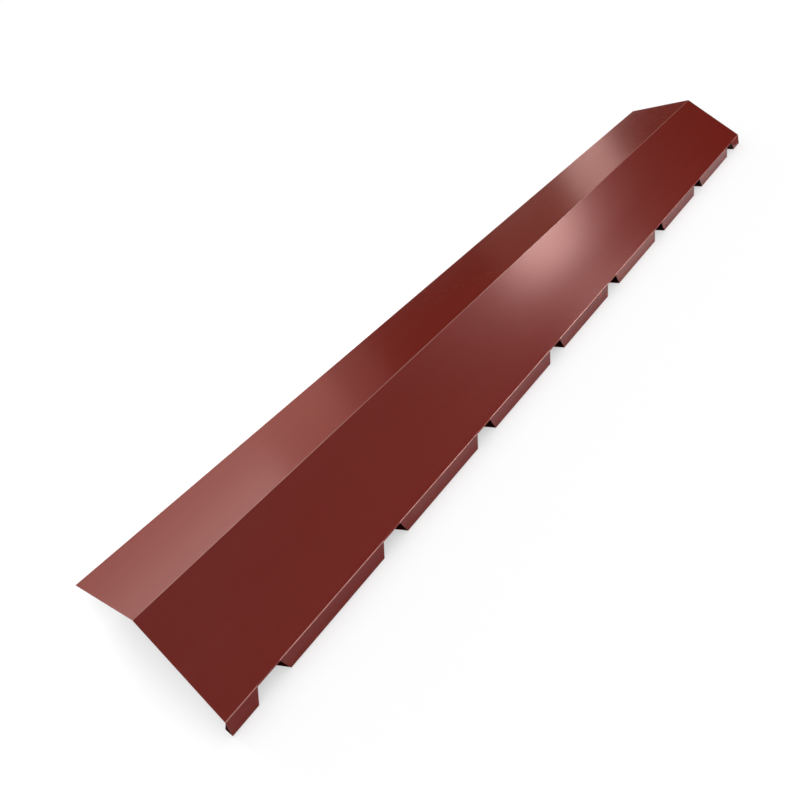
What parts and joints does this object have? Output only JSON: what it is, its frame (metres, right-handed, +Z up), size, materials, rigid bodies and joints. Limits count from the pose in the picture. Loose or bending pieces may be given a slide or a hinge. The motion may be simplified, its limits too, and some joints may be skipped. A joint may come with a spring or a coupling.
{
  "type": "roof ridge cap",
  "caption": "Folded sheet-steel ridge cap with two sloping wings whose notched, turned-in lips straddle the ribs of a profiled roof and close its ridge.",
  "frame": {"origin": "under the middle of the ridge, on the level that the feet of both lips stand on", "axes": "+X along the ridge to the end with the longer back tab, -Y towards the front wing, +Z up"},
  "size_m": [2, 0.3278, 0.0949],
  "materials": {
    "coated_sheet": "coil-coated steel sheet, satin oxide red"
  },
  "bodies": {
    "root": {"ridge_cap": "coated_sheet"}
  },
  "joints": []
}
